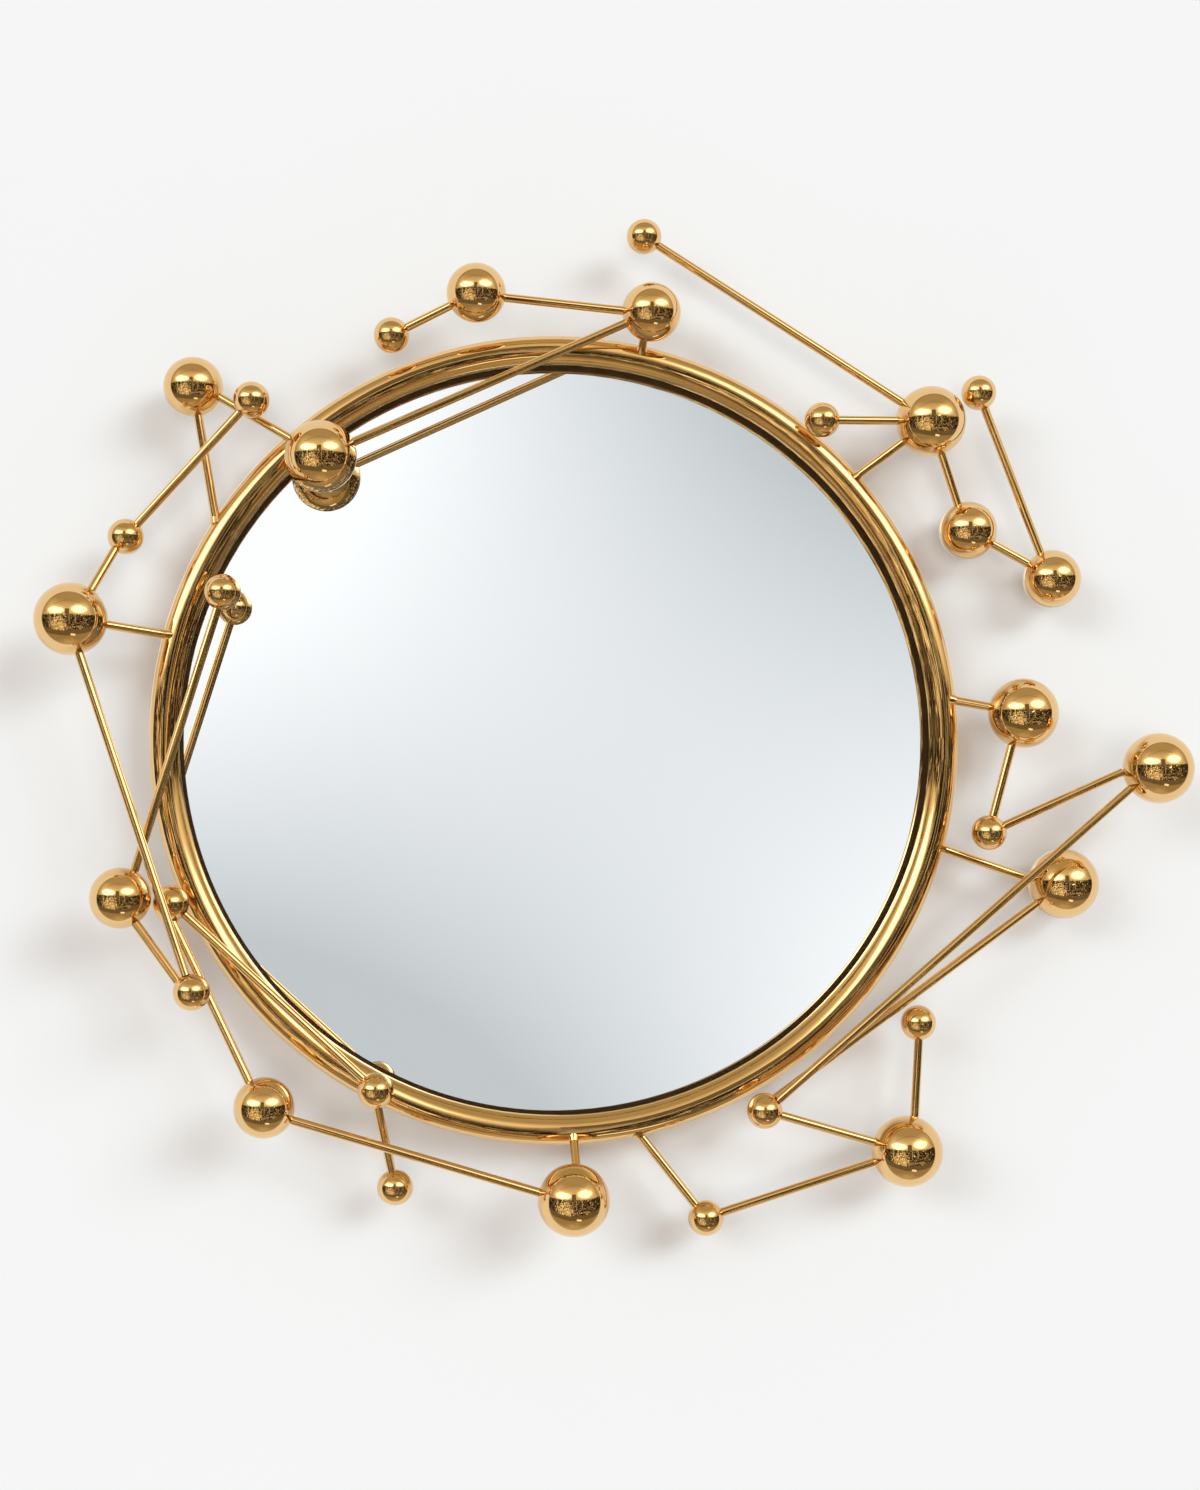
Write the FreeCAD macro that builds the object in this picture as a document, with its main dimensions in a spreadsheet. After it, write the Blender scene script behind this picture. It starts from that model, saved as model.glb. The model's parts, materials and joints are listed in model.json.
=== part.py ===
# Round wall mirror in a brass tube ring that carries five runs of rods and balls.
# Millimetres. +X right, +Z up, the front faces -Y and the wall is the plane y = 0.
# The origin is the middle of the wall rail's screw line, on the wall.
import FreeCAD
import Part
import Sketcher
import math
import os
import re
from FreeCAD import Placement, Rotation, Vector

OUT_FOLDER = "parts"

# Driving dimensions. Depths are counted from the wall, rises from the glass.
SIZES = {
    # frame tube and its place
    "ring_radius": 422.0,
    "tube_diameter": 31.8,
    "tube_wall": 2.0,
    "vent_diameter": 4.0,
    # mirror pack behind the tube
    "glass_thickness": 6.0,
    "glass_chamfer": 0.8,
    "glass_clearance": 1.5,
    "foam_thickness": 2.0,
    "board_thickness": 9.0,
    "board_chamfer": 1.0,
    "board_clearance": 1.5,
    "band_wall": 3.0,
    "band_seat_gap": 0.3,
    "seat_gap": 0.15,
    # clips that hold the pack in the band
    "block_depth": 12.0,
    "block_width": 14.0,
    "block_gap": 0.4,
    "clip_length": 34.0,
    "clip_width": 14.0,
    "clip_thickness": 2.0,
    "clip_setback": 1.0,
    "clip_bar_gap": 24.1,
    "machine_screw": 4.0,
    "machine_head": 8.0,
    "machine_head_height": 2.4,
    "machine_screw_length": 9.0,
    "screw_fit": 0.1,
    "socket_width": 2.6,
    "socket_depth": 1.4,
    # pair of hooked rails and the bars they hang on
    "rail_thickness": 3.0,
    "rail_gap": 0.3,
    "rail_flange": 28.0,
    "rail_lip": 10.0,
    "wall_rail_length": 400.0,
    "frame_rail_length": 420.0,
    "wall_hole": 5.5,
    "wall_hole_sink": 2.4,
    "wall_hole_margin": 30.0,
    "inner_hole_spacing": 120.0,
    "rail_screw": 5.0,
    "rail_screw_sink": 2.2,
    "rail_screw_margin": 30.0,
    "bar_height": 40.0,
    "bar_thickness": 4.0,
    "bumper_diameter": 24.0,
    "bumper_spacing": 360.0,
    "bumper_head_depth": 3.4,
    "bumper_screw_length": 6.5,
    # balls and rods
    "large_ball": 76.2,
    "medium_ball": 63.5,
    "small_ball": 38.1,
    "ball_wall": 2.2,
    "rod_diameter": 9.4,
    "rod_fit": 0.1,
    "spigot_diameter": 5.0,
    "spigot_length": 6.0,
    "seat_depth": 0.6,
    "full_rise": 100.0,
    "tube_bite": 6.0,
    "weld_leg": 2.2,
    "weld_lip": 0.3,
    "weld_root": 4.5,
    # overrun of every cut
    "overrun": 3.0,
}

CLIP_COUNT = 8
RAIL_SCREW_COUNT = 5
SOCKET_SIDES = 6
SEARCH_STEPS = 400
HALVINGS = 40

# Sizes that follow from the driving ones, as sheet formulas.
WORKED = {
    "tube_radius": "tube_diameter / 2",
    "tube_bore": "tube_diameter / 2 - tube_wall",
    "rod_radius": "rod_diameter / 2",
    "spigot_radius": "spigot_diameter / 2",
    "band_inner": "ring_radius - band_wall / 2",
    "band_outer": "ring_radius + band_wall / 2",
    "lip_depth": "rail_thickness + 2 * rail_gap",
    "rail_front": "lip_depth + rail_thickness",
    "bar_rear": "rail_front + rail_gap",
    "board_rear": "bar_rear + bar_thickness",
    "foam_rear": "board_rear + board_thickness",
    "glass_rear": "foam_rear + foam_thickness",
    "glass_front": "glass_rear + glass_thickness",
    "tube_depth": "glass_front + seat_gap + tube_radius",
    "glass_radius": "band_inner - glass_clearance",
    "block_outer": "band_inner - band_seat_gap",
    "block_inner": "block_outer - block_depth",
    "board_radius": "block_inner - board_clearance",
    "rail_centre_height": "(rail_flange + 2 * rail_thickness + rail_lip + rail_gap) / 2",
    "bar_centre_height": "2 * rail_centre_height",
    "clip_inner_reach": "block_outer - clip_setback - clip_length",
    "clip_nose_height": "clip_inner_reach * sin(%g) - clip_width" % (360 / CLIP_COUNT),
    "bar_offset": "clip_nose_height - bar_height / 2 - clip_bar_gap",
    "ring_drop": "bar_offset - bar_centre_height",
    "lower_bar_height": "0 - ring_drop - bar_offset",
    "outer_hole_spacing": "wall_rail_length - 2 * wall_hole_margin",
    "rail_screw_pitch": "(frame_rail_length - 2 * rail_screw_margin) / %d" % (RAIL_SCREW_COUNT - 1),
}

# Share of the tube's radius by which a stay aims in front of the tube's centre line.
STAY_FRONT_SHARE = 0.4

# Each ball: clock angle in degrees (0 at three o'clock, growing anticlockwise), how far it stands
# outside the ring's centre line as a share of the large ball, its rise as a share of the full
# rise, and its size.
BALL_SHARES = {
    "top_left": {
        "1": (113.0, 0.58, 0.45, "small_ball"),
        "2": (101.0, 0.78, 0.62, "medium_ball"),
        "3": (78.0, 0.61, 0.50, "medium_ball"),
        "4": (131.0, -0.42, 0.62, "large_ball"),
        "5": (136.5, 1.58, 0.28, "medium_ball"),
    },
    "left": {
        "1": (133.0, 0.78, 0.70, "small_ball"),
        "2": (155.5, 1.14, 0.30, "small_ball"),
        "3": (167.0, 1.38, 0.70, "large_ball"),
        "4": (215.0, 0.61, 0.88, "small_ball"),
        "5": (200.5, 0.91, 0.66, "medium_ball"),
        "6": (157.5, -0.47, 0.72, "small_ball"),
    },
    "bottom_left": {
        "1": (203.5, 0.33, 0.50, "small_ball"),
        "2": (231.5, 1.00, 0.68, "medium_ball"),
        "3": (271.5, 0.89, 0.66, "large_ball"),
        "4": (242.5, 0.0, 0.55, "small_ball"),
        "5": (250.0, 1.16, 0.26, "small_ball"),
    },
    "right": {
        "1": (287.0, 1.55, 0.22, "small_ball"),
        "2": (310.0, 2.10, 0.38, "large_ball"),
        "3": (321.5, 0.97, 0.34, "small_ball"),
        "4": (298.5, 0.42, 0.58, "small_ball"),
        "5": (357.0, 2.94, 0.70, "large_ball"),
        "6": (347.5, 0.72, 0.42, "small_ball"),
        "7": (3.0, 1.08, 0.46, "large_ball"),
        "8": (344.0, 2.02, 0.20, "large_ball"),
    },
    "top_right": {
        "1": (80.5, 1.72, 0.32, "small_ball"),
        "2": (40.5, 1.44, 0.44, "large_ball"),
        "3": (50.5, 0.30, 0.52, "small_ball"),
        "4": (27.0, 1.11, 0.16, "medium_ball"),
        "5": (18.0, 1.97, 0.20, "medium_ball"),
        "6": (39.5, 2.27, 0.38, "small_ball"),
    },
}

# Each rod: the two balls it joins, then for each end how far its axis passes beside the
# ball's centre, to the right of its run seen from the front, and towards the front, as
# shares of that ball's radius.
ROD_SHARES = {
    "top_left": (
        ("1", "2", (0.0, 0.0), (0.0, 0.0)),
        ("2", "3", (0.06, 0.0), (0.06, 0.0)),
        ("3", "4", (0.0, 0.0), (0.0, 0.0)),
        ("5", "4", (-0.15, 0.0), (0.0, 0.0)),
    ),
    "left": (
        ("1", "2", (0.0, 0.0), (0.0, 0.0)),
        ("2", "3", (0.15, 0.0), (-0.08, 0.0)),
        ("3", "4", (0.07, 0.0), (0.0, 0.15)),
        ("6", "5", (0.0, 0.0), (-0.17, 0.0)),
        ("5", "4", (0.08, 0.0), (0.28, -0.15)),
    ),
    "bottom_left": (
        ("1", "2", (0.32, -0.1), (0.08, 0.0)),
        ("1", "4", (-0.1, 0.1), (0.0, 0.0)),
        ("2", "3", (0.14, 0.0), (0.06, 0.0)),
        ("4", "5", (0.1, 0.0), (0.0, 0.0)),
    ),
    "right": (
        ("1", "2", (0.0, 0.0), (0.0, 0.0)),
        ("2", "3", (0.16, 0.0), (0.08, 0.0)),
        ("2", "4", (0.0, 0.0), (0.0, 0.0)),
        ("4", "5", (0.0, 0.32), (-0.09, 0.0)),
        ("4", "8", (-0.15, -0.32), (0.0, 0.0)),
        ("6", "5", (0.0, 0.0), (-0.32, 0.0)),
        ("6", "7", (0.0, 0.0), (-0.09, 0.0)),
    ),
    "top_right": (
        ("1", "2", (0.0, 0.0), (0.0, 0.0)),
        ("3", "2", (0.0, 0.0), (0.0, 0.0)),
        ("2", "4", (0.0, 0.0), (0.06, 0.0)),
        ("4", "5", (0.0, 0.0), (-0.06, 0.0)),
        ("6", "5", (0.0, 0.0), (0.06, 0.0)),
    ),
}

# Each stay: the ball it starts from, the clock angle where it meets the tube and how far
# its axis passes beside the ball's centre, as above.
STAY_SHARES = {
    "top_left": (
        ("3", 78.0, (0.09, 0.0)),
        ("5", 150.0, (0.0, 0.0)),
    ),
    "left": (("3", 165.5, (0.0, 0.0)),),
    "bottom_left": (("3", 272.0, (0.15, 0.0)),),
    "right": (
        ("1", 280.5, (0.0, 0.0)),
        ("8", 344.0, (-0.2, 0.0)),
        ("7", 6.0, (0.0, 0.0)),
    ),
    "top_right": (("2", 41.5, (0.0, 0.0)),),
}

doc = FreeCAD.newDocument("Mirror")
sheet = doc.addObject("Spreadsheet::Sheet", "Sizes")
pieces = []


def write_cell(row, alias, text):
    """Put one size in the sheet: its name in column A and its value in column B"""
    sheet.set("A%d" % row, alias)
    sheet.set("B%d" % row, text)
    sheet.setAlias("B%d" % row, alias)


def fill_sheet():
    """The driving sizes as plain numbers, then the sizes that follow from them"""
    for row, (alias, value) in enumerate(SIZES.items(), 1):
        write_cell(row, alias, repr(value))
    for row, (alias, text) in enumerate(WORKED.items(), len(SIZES) + 1):
        write_cell(row, alias, "=" + text)
    doc.recompute()


fill_sheet()


def size(alias):
    """The value of a named size"""
    return float(sheet.get(alias))


def bound(text):
    """A formula of sheet names, as an expression that other objects can use"""
    names = set(SIZES) | set(WORKED)
    return re.sub(r"[a-z_]+", lambda m: "Sizes." + m.group() if m.group() in names else m.group(), text)


def bind(item, **formulas):
    """Bind properties of an object to formulas of sheet names"""
    for name, text in formulas.items():
        item.setExpression(name, bound(text))
    return item


def add(kind, name, spot=None, **formulas):
    """A primitive whose sizes follow the sheet, at its place"""
    item = bind(doc.addObject(kind, name), **formulas)
    if spot is not None:
        item.Placement = spot
    return item


def cut(name, base, tools):
    """The base without the tools"""
    item = doc.addObject("Part::Cut", name)
    item.Base = base
    item.Tool = tools[0] if len(tools) == 1 else fuse(name + "_tools", tools)
    return item


def fuse(name, shapes):
    """Several shapes as one"""
    item = doc.addObject("Part::MultiFuse", name)
    item.Shapes = shapes
    return item


def group(label, items):
    """Separate solids that share one node"""
    item = doc.addObject("Part::Compound", label)
    item.Links = items
    return piece(label, item)


def piece(label, item):
    """Register an object as a finished sub-part under its own name"""
    item.Label = label
    pieces.append(item)
    return item


# Places. A bench point is (right, up, out of the wall); the wall stands on the XZ plane.
def wall_point(across, up, out):
    """A bench point in the part's own frame"""
    return Vector(across, -out, up)


def facing(across, up, out):
    """Placement of something drawn flat on the wall: its Z axis points to the viewer"""
    return Placement(wall_point(across, up, out), Rotation(Vector(1, 0, 0), 90))


def along(start, direction):
    """Placement of something whose Z axis runs from a point in a direction"""
    return Placement(start, Rotation(Vector(0, 0, 1), direction))


def on_ring(clock, radius, out):
    """The point at a clock angle round the ring's centre"""
    turn = math.radians(clock)
    return wall_point(radius * math.cos(turn), radius * math.sin(turn) - size("ring_drop"), out)


def ring_placement(clock, radius, out):
    """Placement on the ring with X radial outwards and Z towards the viewer"""
    flat = Rotation(Vector(1, 0, 0), 90)
    return Placement(on_ring(clock, radius, out), flat.multiply(Rotation(Vector(0, 0, 1), clock)))


# Sketched pieces
def plane_of(body, role):
    """One of a body's own origin planes"""
    return [item for item in body.Origin.OriginFeatures if item.Role == role][0]


def new_body(label, spot):
    """A body in its place"""
    body = doc.addObject("PartDesign::Body", label)
    body.Placement = spot
    return piece(label, body)


def new_sketch(body, name, role, lift=None):
    """A sketch on one of the body's origin planes, lifted by a formula where given"""
    sketch = body.newObject("Sketcher::SketchObject", name)
    sketch.AttachmentSupport = [(plane_of(body, role), "")]
    sketch.MapMode = "FlatFace"
    if lift is not None:
        sketch.setExpression("AttachmentOffset.Base.z", bound(lift))
    return sketch


def fix_point(sketch, index, end, across, up):
    """Tie one point of the sketch to formulas of sheet names"""
    for kind, text, axis in (("DistanceX", across, -2), ("DistanceY", up, -1)):
        if text == "0":
            sketch.addConstraint(Sketcher.Constraint("PointOnObject", index, end, axis))
        else:
            number = sketch.addConstraint(Sketcher.Constraint(kind, -1, 1, index, end, sketch_step(sketch)))
            sketch.setExpression("Constraints[%d]" % number, bound(text))


def sketch_step(sketch):
    """A length to start a sketch from before its formulas place it"""
    return size("rail_thickness") * (1 + sketch.GeometryCount)


def circle(sketch, radius, across="0", up="0"):
    """A circle whose centre and radius follow the sheet"""
    start = sketch_step(sketch)
    index = sketch.addGeometry(Part.Circle(Vector(0, 0, 0), Vector(0, 0, 1), start), False)
    if (across, up) == ("0", "0"):
        sketch.addConstraint(Sketcher.Constraint("Coincident", index, 3, -1, 1))
    else:
        fix_point(sketch, index, 3, across, up)
    number = sketch.addConstraint(Sketcher.Constraint("Radius", index, start))
    sketch.setExpression("Constraints[%d]" % number, bound(radius))


def outline(sketch, corners):
    """A closed outline of straight lines whose corners follow the sheet"""
    count = len(corners)
    start = size("rail_flange")
    turns = [2 * math.pi * k / count for k in range(count)]
    points = [Vector(start * math.cos(a), start * math.sin(a), 0) for a in turns]
    for k in range(count):
        sketch.addGeometry(Part.LineSegment(points[k], points[(k + 1) % count]), False)
    for k in range(count):
        sketch.addConstraint(Sketcher.Constraint("Coincident", k, 2, (k + 1) % count, 1))
    for k, (across, up) in enumerate(corners):
        fix_point(sketch, k, 1, across, up)


def pad(body, sketch, length, both_ways=False):
    """Pad a sketch by a formula"""
    item = body.newObject("PartDesign::Pad", sketch.Name + "_pad")
    item.Profile = sketch
    item.setExpression("Length", bound(length))
    if both_ways:
        item.SideType = "Symmetric"
    sketch.Visibility = False
    return item


def edges_where(shape, test):
    """Names of the edges that pass a test"""
    return ["Edge%d" % (k + 1) for k, edge in enumerate(shape.Edges) if test(edge)]


def is_ring(edge, radius):
    """Whether an edge is a circle of this radius"""
    curve = edge.Curve
    return isinstance(curve, Part.Circle) and abs(curve.Radius - radius) < size("seat_gap") / 10


def dress(kind, body, base, names, formula):
    """Chamfer or round edges of a body"""
    item = body.newObject("PartDesign::" + kind, base.Name + "_edges")
    item.Base = (base, names)
    prop = "Size" if kind == "Chamfer" else "Radius"
    item.setExpression(prop, bound(formula))
    return item


def disc(label, radius, rear, thickness, chamfer=None):
    """A round sheet of the mirror pack"""
    body = new_body(label, facing(0, -size("ring_drop"), size(rear)))
    sketch = new_sketch(body, label + "_round", "XY_Plane")
    circle(sketch, radius)
    sheet_pad = pad(body, sketch, thickness)
    doc.recompute()
    if chamfer is not None:
        rims = edges_where(sheet_pad.Shape, lambda edge: is_ring(edge, size(radius)))
        dress("Chamfer", body, sheet_pad, rims, chamfer)
    return body


def make_mirror_pack():
    """Glass, foam and board, laid from the front to the rear"""
    disc("mirror_glass", "glass_radius", "glass_rear", "glass_thickness", "glass_chamfer")
    disc("foam_sheet", "board_radius", "foam_rear", "foam_thickness")
    disc("backing_board", "board_radius", "board_rear", "board_thickness", "board_chamfer")


def make_rear_band():
    """The hoop behind the tube that holds the mirror pack"""
    body = new_body("rear_band", facing(0, -size("ring_drop"), size("bar_rear")))
    sketch = new_sketch(body, "band_rings", "XY_Plane")
    circle(sketch, "band_outer")
    circle(sketch, "band_inner")
    pad(body, sketch, "glass_front - bar_rear")


# Clips
def clip_clocks():
    """Where the clips stand round the band"""
    return [360.0 * k / CLIP_COUNT for k in range(CLIP_COUNT)]


def screw_radius():
    """How far out the clip screws stand"""
    return size("block_outer") - size("block_depth") / 2


def pan_screw(name, spot, length):
    """A socket screw: its Z axis runs from under the head to the tip"""
    back = Rotation(Vector(1, 0, 0), 180)
    head_spot = Placement(spot.Base, spot.Rotation.multiply(back))
    head = add("Part::Cylinder", name + "_head", head_spot, Radius="machine_head / 2",
               Height="machine_head_height")
    shank = add("Part::Cylinder", name + "_shank", spot, Radius="machine_screw / 2", Height=length)
    top = head_spot.multVec(Vector(0, 0, size("machine_head_height") - size("socket_depth")))
    socket = add("Part::Prism", name + "_socket", Placement(top, head_spot.Rotation),
                 Circumradius="socket_width / 2", Height="socket_depth + overrun")
    socket.Polygon = SOCKET_SIDES
    return cut(name, fuse(name + "_blank", [head, shank]), [socket])


def make_clips():
    """Blocks welded in the band, the flat clips on them and their screws"""
    blocks, clips, screws = [], [], []
    for k, clock in enumerate(clip_clocks()):
        bore_spot = Placement(on_ring(clock, screw_radius(), size("board_rear") - size("overrun")),
                              facing(0, 0, 0).Rotation)
        corner = ring_placement(clock, size("block_inner"), size("board_rear"))
        corner.Base = corner.multVec(Vector(0, -size("block_width") / 2, 0))
        solid = add("Part::Box", "block_%d_solid" % k, corner, Length="block_depth",
                    Width="block_width", Height="glass_rear - board_rear - block_gap")
        bore = add("Part::Cylinder", "block_%d_bore" % k, bore_spot,
                   Radius="machine_screw / 2 + screw_fit", Height="machine_screw_length + overrun")
        blocks.append(cut("block_%d" % k, solid, [bore]))
        clips.append(make_clip(k, clock))
        under_head = on_ring(clock, screw_radius(), size("board_rear") - size("clip_thickness"))
        screws.append(pan_screw("clip_screw_%d" % k, Placement(under_head, facing(0, 0, 0).Rotation),
                                "machine_screw_length"))
    group("clip_blocks", blocks)
    group("retaining_clips", clips)
    group("clip_screws", screws)


def make_clip(k, clock):
    """A flat clip with a round inner end, pressed on the board by its screw"""
    outer = size("block_outer") - size("clip_setback")
    inner_centre = outer - size("clip_length") + size("clip_width") / 2
    rear = size("board_rear") - size("clip_thickness")
    corner = ring_placement(clock, inner_centre, rear)
    corner.Base = corner.multVec(Vector(0, -size("clip_width") / 2, 0))
    strip = add("Part::Box", "clip_%d_strip" % k, corner, Length="clip_length - clip_width / 2",
                Width="clip_width", Height="clip_thickness")
    nose = add("Part::Cylinder", "clip_%d_nose" % k, ring_placement(clock, inner_centre, rear),
               Radius="clip_width / 2", Height="clip_thickness")
    bore_spot = Placement(on_ring(clock, screw_radius(), rear - size("overrun")), facing(0, 0, 0).Rotation)
    bore = add("Part::Cylinder", "clip_%d_bore" % k, bore_spot, Radius="machine_screw / 2 + screw_fit",
               Height="clip_thickness + 2 * overrun")
    return cut("clip_%d" % k, fuse("clip_%d_blank" % k, [strip, nose]), [bore])


# Rails and bars
def rail_corners():
    """The hooked section: flange on the wall, web and lip, as (up, out) formulas"""
    flange = "rail_flange / 2"
    web = "rail_flange / 2 + rail_thickness"
    tip = "rail_flange / 2 + rail_thickness + rail_lip"
    return (
        ("0 - rail_flange / 2", "0"), ("0 - rail_flange / 2", "rail_thickness"),
        (flange, "rail_thickness"), (flange, "rail_front"), (tip, "rail_front"),
        (tip, "lip_depth"), (web, "lip_depth"), (web, "0"),
    )


def make_rail(label, spot, length, holes, hole, sink):
    """One hooked rail with sunk holes along the middle of its flange"""
    body = new_body(label, spot)
    section = new_sketch(body, label + "_section", "YZ_Plane")
    outline(section, rail_corners())
    pad(body, section, length, True)
    doc.recompute()
    drill = new_sketch(body, label + "_holes", "XY_Plane", "rail_thickness")
    for across in holes:
        circle(drill, hole + " / 2", across, "0")
    pocket = body.newObject("PartDesign::Pocket", label + "_drilled")
    pocket.Profile = drill
    pocket.Type = "ThroughAll"
    doc.recompute()
    mouths = edges_where(pocket.Shape, lambda edge: at_mouth(edge, size(hole) / 2))
    if len(mouths) != len(holes):
        raise RuntimeError(label + ": a hole is missing")
    dress("Chamfer", body, pocket, mouths, sink)


def at_mouth(edge, radius):
    """Whether an edge is the mouth of a hole in the flange's outer face"""
    return is_ring(edge, radius) and abs(edge.Curve.Center.z - size("rail_thickness")) < size("seat_gap")


def make_rails():
    """The rail on the wall and the one on the mirror that hooks over it"""
    pairs = ("outer_hole_spacing / 2", "inner_hole_spacing / 2")
    wall_holes = [sign + text for text in pairs for sign in ("", "0 - ")]
    make_rail("wall_rail", facing(0, 0, 0), "wall_rail_length", wall_holes, "wall_hole", "wall_hole_sink")
    half_turn = facing(0, 2 * size("rail_centre_height"), size("bar_rear"))
    half_turn.Rotation = half_turn.Rotation.multiply(Rotation(Vector(1, 0, 0), 180))
    make_rail("frame_rail", half_turn, "frame_rail_length", rail_screw_places(), "rail_screw",
              "rail_screw_sink")


def rail_screw_places():
    """Places along the frame rail, as formulas"""
    middle = (RAIL_SCREW_COUNT - 1) / 2
    steps = [k - middle for k in range(RAIL_SCREW_COUNT)]
    return ["0" if step == 0 else "%g * rail_screw_pitch" % step for step in steps]


def rail_screw_offsets():
    """The same places in millimetres"""
    middle = (RAIL_SCREW_COUNT - 1) / 2
    return [(k - middle) * size("rail_screw_pitch") for k in range(RAIL_SCREW_COUNT)]


def make_bar(label, height, bores, bore_radius):
    """A flat bar across the rear, its ends cut round to the band, with tapped holes"""
    length = 2 * size("band_inner")
    corner = wall_point(-length / 2, size(height) - size("bar_height") / 2, size("bar_rear"))
    flat = Placement(corner, facing(0, 0, 0).Rotation)
    stock = add("Part::Box", label + "_stock", flat, Length="2 * band_inner", Width="bar_height",
                Height="bar_thickness")
    mould = add("Part::Cylinder", label + "_round", facing(0, -size("ring_drop"), size("bar_rear")),
                Radius="band_inner - band_seat_gap", Height="bar_thickness")
    trimmed = doc.addObject("Part::Common", label + "_trimmed")
    trimmed.Base = stock
    trimmed.Tool = mould
    drills = []
    for k, across in enumerate(bores):
        spot = facing(across, size(height), size("bar_rear") - size("overrun"))
        drills.append(add("Part::Cylinder", label + "_bore_%d" % k, spot, Radius=bore_radius,
                          Height="bar_thickness + 2 * overrun"))
    return piece(label, cut(label, trimmed, drills))


def make_rail_screws():
    """Flat-headed screws that hold the frame rail on its bar"""
    screws = []
    for k, across in enumerate(rail_screw_offsets()):
        name = "rail_screw_%d" % k
        spot = facing(across, size("bar_centre_height"), size("bar_rear") - size("rail_thickness"))
        head = add("Part::Cone", name + "_head", spot,
                   Radius1="rail_screw / 2 + rail_screw_sink - screw_fit",
                   Radius2="rail_screw / 2 - screw_fit", Height="rail_screw_sink")
        shank = add("Part::Cylinder", name + "_shank", spot, Radius="rail_screw / 2 - screw_fit",
                    Height="rail_thickness + bar_thickness")
        socket = add("Part::Prism", name + "_socket", spot, Circumradius="socket_width / 2",
                     Height="socket_depth")
        socket.Polygon = SOCKET_SIDES
        screws.append(cut(name, fuse(name + "_blank", [head, shank]), [socket]))
    group("rail_screws", screws)


def make_bumpers():
    """Rubber feet that hold the mirror's lower part off the wall, and their screws"""
    bumpers, screws = [], []
    for k, side in enumerate((-1, 1)):
        across = side * size("bumper_spacing") / 2
        spot = facing(across, size("lower_bar_height"), 0)
        foot = add("Part::Cylinder", "bumper_%d_foot" % k, spot, Radius="bumper_diameter / 2",
                   Height="bar_rear")
        well = add("Part::Cylinder", "bumper_%d_well" % k, spot, Radius="machine_head / 2 + screw_fit",
                   Height="bumper_head_depth")
        bore = add("Part::Cylinder", "bumper_%d_bore" % k, spot, Radius="machine_screw / 2 + screw_fit",
                   Height="bar_rear + overrun")
        bumpers.append(cut("bumper_%d" % k, foot, [well, bore]))
        under_head = facing(across, size("lower_bar_height"), size("bumper_head_depth"))
        screws.append(pan_screw("bumper_screw_%d" % k, under_head, "bumper_screw_length"))
    group("wall_bumpers", bumpers)
    group("bumper_screws", screws)


def make_bars():
    """The bar that hangs on the rail and the lower one that carries the bumpers"""
    make_bar("hanger_bar", "bar_centre_height", rail_screw_offsets(), "rail_screw / 2")
    half = size("bumper_spacing") / 2
    make_bar("lower_bar", "lower_bar_height", (-half, half), "machine_screw / 2 + screw_fit")


# Balls and rods
def ball_centre(run, number):
    """Where a ball of a run stands"""
    clock, reach_share, rise_share, _ = BALL_SHARES[run][number]
    out = size("glass_front") + rise_share * size("full_rise")
    return on_ring(clock, size("ring_radius") + reach_share * size("large_ball"), out)


def ball_radius(run, number):
    """A ball's radius"""
    kind = BALL_SHARES[run][number][-1]
    return size(kind) / 2


def aimed(centre, radius, shares, direction):
    """The point beside a ball's centre that a rod's axis passes"""
    front = Vector(0, -1, 0)
    right = direction.cross(front).normalize()
    side_share, front_share = shares
    return centre + right * (side_share * radius) + front * (front_share * radius)


def seat_height(radius, miss):
    """How far out along its axis a rod's square end stands, where it misses the centre by so much"""
    inner = max(0.0, miss - size("rod_radius"))
    return math.sqrt(radius ** 2 - inner ** 2) - size("seat_depth")


def rod_seat(centre, radius, point, direction):
    """The middle of a rod's end on a ball; the direction leads away from the ball"""
    foot = point + direction * (centre - point).dot(direction)
    return foot + direction * seat_height(radius, (foot - centre).Length)


class Rod:
    """A straight rod between two balls, or a stay from a ball to the frame tube"""

    def __init__(self, name, run, first, second, ring_clock, first_shares, second_shares):
        self.name = name
        self.run = run
        self.first = first
        self.second = second
        centre = ball_centre(run, first)
        if second is not None:
            goal = ball_centre(run, second)
        else:
            front = STAY_FRONT_SHARE * size("tube_radius")
            goal = on_ring(ring_clock, size("ring_radius"), size("tube_depth") + front)
        rough = (goal - centre).normalize()
        start = aimed(centre, ball_radius(run, first), first_shares, rough)
        if second is not None:
            goal = aimed(goal, ball_radius(run, second), second_shares, rough)
        self.way = (goal - start).normalize()
        self.start = rod_seat(centre, ball_radius(run, first), start, self.way)
        if second is not None:
            back = self.way * -1
            self.end = rod_seat(ball_centre(run, second), ball_radius(run, second), goal, back)
            self.meeting = None
        else:
            self.meeting = tube_meeting(self.start, self.way)
            self.end = self.meeting + self.way * size("tube_bite")


def tube_meeting(start, way):
    """Where a line from outside first meets the surface of the frame tube, by halving"""
    low, high = 0.0, closest_reach(start, way)
    for _ in range(HALVINGS):
        middle = (low + high) / 2
        if tube_distance(start + way * middle) > size("tube_radius"):
            low = middle
        else:
            high = middle
    return start + way * high


def closest_reach(start, way):
    """How far along a line it comes closest to the tube's centre line"""
    reaches = [size("ring_radius") * k / SEARCH_STEPS for k in range(SEARCH_STEPS)]
    return min(reaches, key=lambda reach: tube_distance(start + way * reach))


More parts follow.
